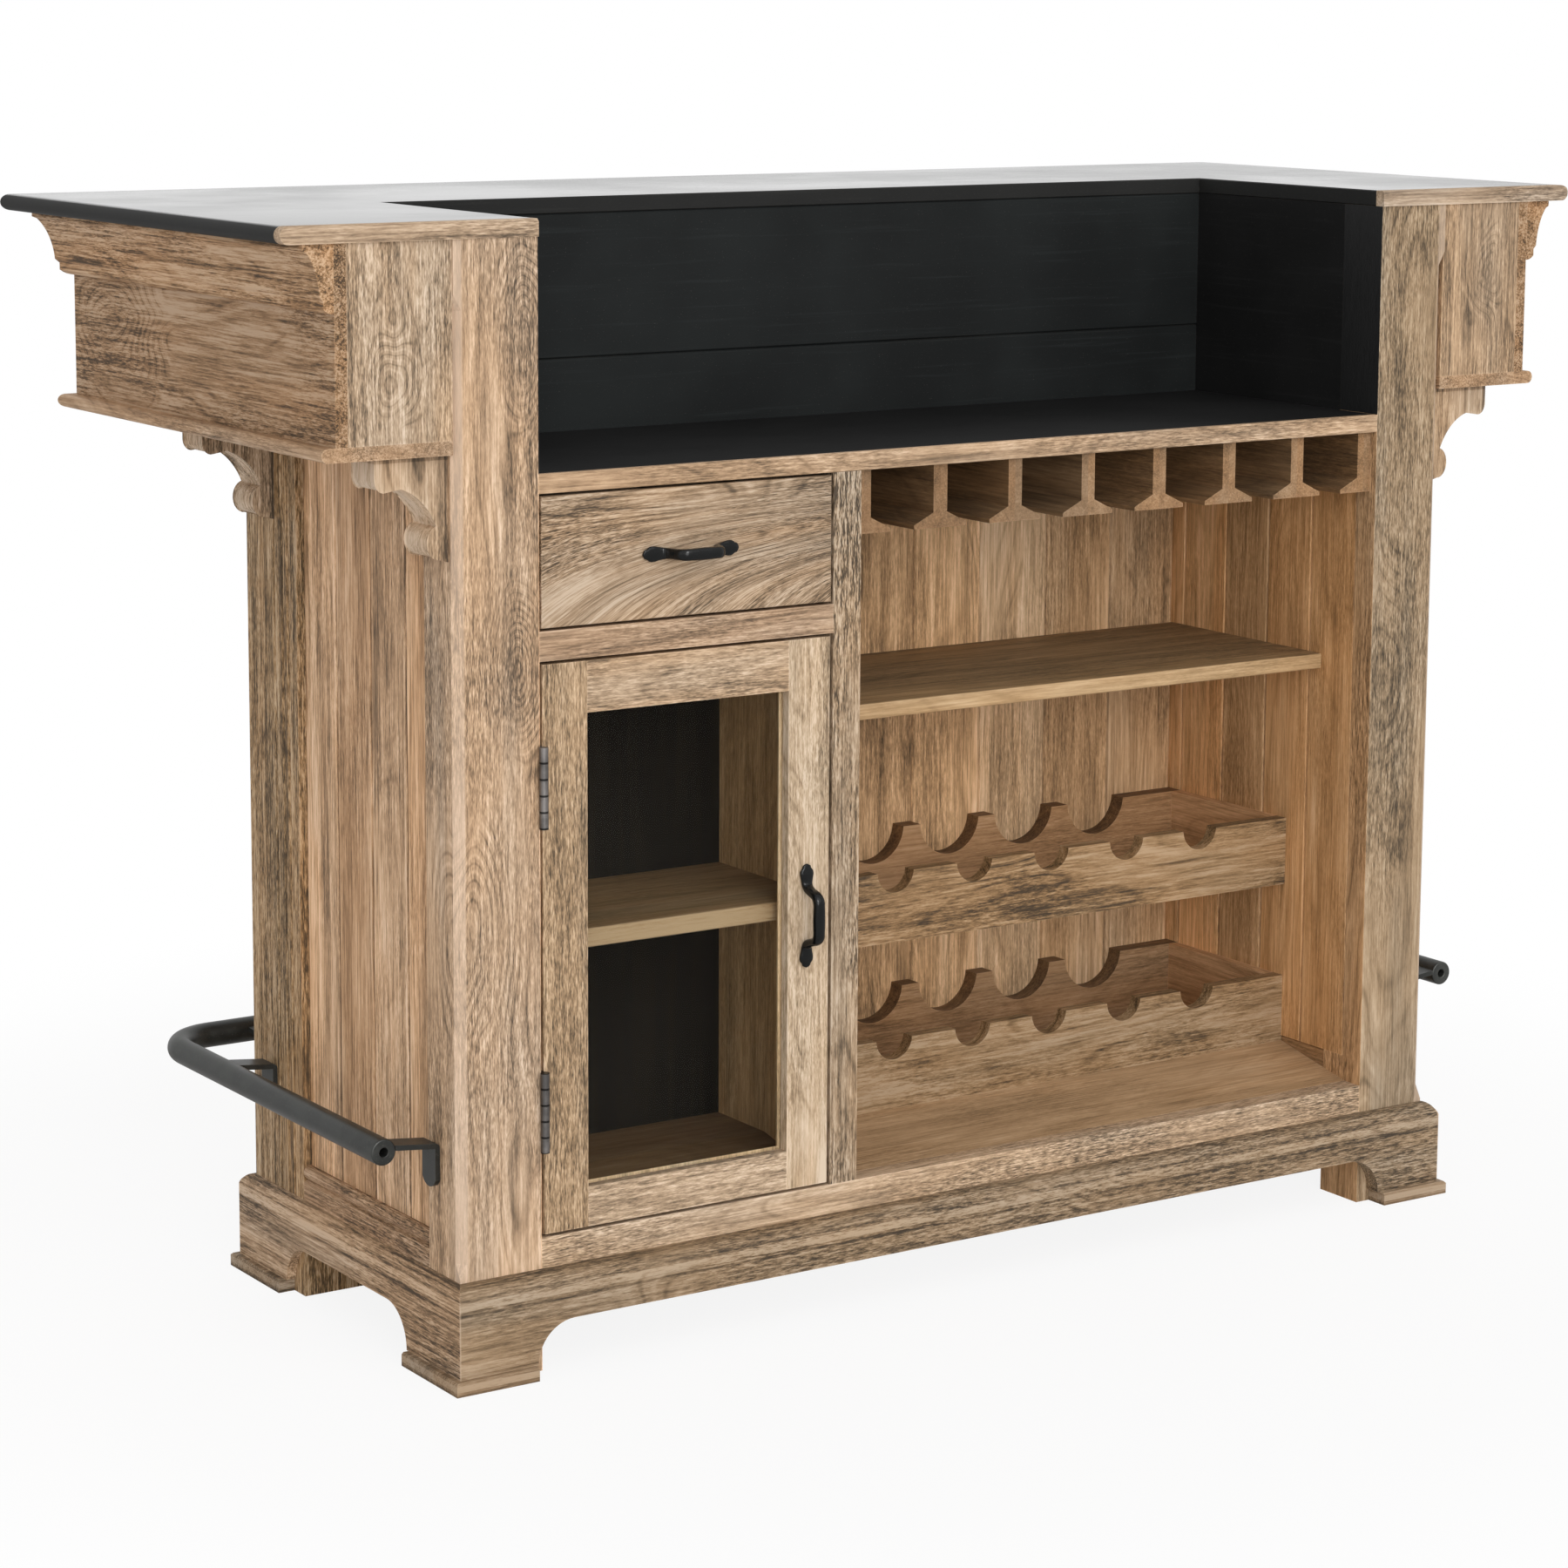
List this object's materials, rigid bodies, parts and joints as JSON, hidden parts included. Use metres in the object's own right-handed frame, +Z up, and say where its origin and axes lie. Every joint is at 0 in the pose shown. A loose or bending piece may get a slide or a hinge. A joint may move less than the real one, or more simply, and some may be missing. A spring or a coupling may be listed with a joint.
{
  "type": "bar counter",
  "caption": "Wooden bar counter with overhanging U-shaped top, sunken work well, stemware rails, bottle racks, glazed cupboard, drawer and foot rail.",
  "frame": {"origin": "on the floor under the middle of the whole counter's box", "axes": "+X along the counter to the right seen from the working side, +Y to the guests, +Z up"},
  "size_m": [1.502, 0.633, 1.065],
  "materials": {
    "weathered_wood": "waxed, weathered grain",
    "inner_wood": "clear matt lacquer",
    "black_wood": "black stain, satin",
    "dark_panel": "dark stain, matt",
    "black_metal": "black powder coat",
    "dark_steel": "dark oxide",
    "clear_glass": "clear float glass"
  },
  "bodies": {
    "counter": {"top_end_strips": "weathered_wood", "crown_mouldings": "weathered_wood", "frieze_boards": "weathered_wood", "frieze_ends": "weathered_wood", "soffit_boards": "weathered_wood", "side_corbels": "weathered_wood", "guest_corbels": "weathered_wood", "post_front_left": "weathered_wood", "post_front_right": "weathered_wood", "post_rear_left": "weathered_wood", "post_rear_right": "weathered_wood", "side_planks_left": "weathered_wood", "side_planks_right": "weathered_wood", "side_rails": "weathered_wood", "guest_planks": "weathered_wood", "guest_rail": "weathered_wood", "guest_muntins": "weathered_wood", "plinth_front": "weathered_wood", "plinth_guest": "weathered_wood", "plinth_left": "weathered_wood", "plinth_right": "weathered_wood", "foot_shoes": "weathered_wood", "bottom_rail": "weathered_wood", "work_lipping": "weathered_wood", "divider_stile": "weathered_wood", "drawer_rail": "weathered_wood", "floor_board": "inner_wood", "wall_lining_left": "inner_wood", "wall_lining_right": "inner_wood", "back_planks": "inner_wood", "divider_panel": "inner_wood", "cupboard_shelf": "inner_wood", "bay_shelf": "inner_wood", "drawer_runners": "inner_wood", "stemware_rails": "inner_wood", "rack_fronts": "inner_wood", "rack_rears": "inner_wood", "rack_ends": "inner_wood", "bar_top": "black_wood", "work_surface": "black_wood", "well_back": "black_wood", "well_sides": "black_wood", "cupboard_back": "dark_panel", "foot_rail": "black_metal", "rail_brackets": "black_metal", "hinge_frame_leaves": "dark_steel", "catch": "dark_steel"},
    "door": {"door_stiles": "weathered_wood", "door_rails": "weathered_wood", "door_glass": "clear_glass", "glazing_beads": "inner_wood", "door_handle": "black_metal", "hinge_door_leaves": "dark_steel"},
    "drawer": {"drawer_front": "weathered_wood", "drawer_sides": "inner_wood", "drawer_bottom": "inner_wood", "drawer_back": "inner_wood", "drawer_handle": "black_metal"}
  },
  "joints": [
    {"name": "door_hinge", "type": "hinge", "parent": "counter", "child": "door", "pos_m": [-0.4945, -0.293, 0.3985], "axis": [0, 0, -1], "range_deg": [0, 110]},
    {"name": "drawer_slide", "type": "slide", "parent": "counter", "child": "drawer", "axis": [0, -1, 0], "range_m": [0, 0.23]}
  ]
}
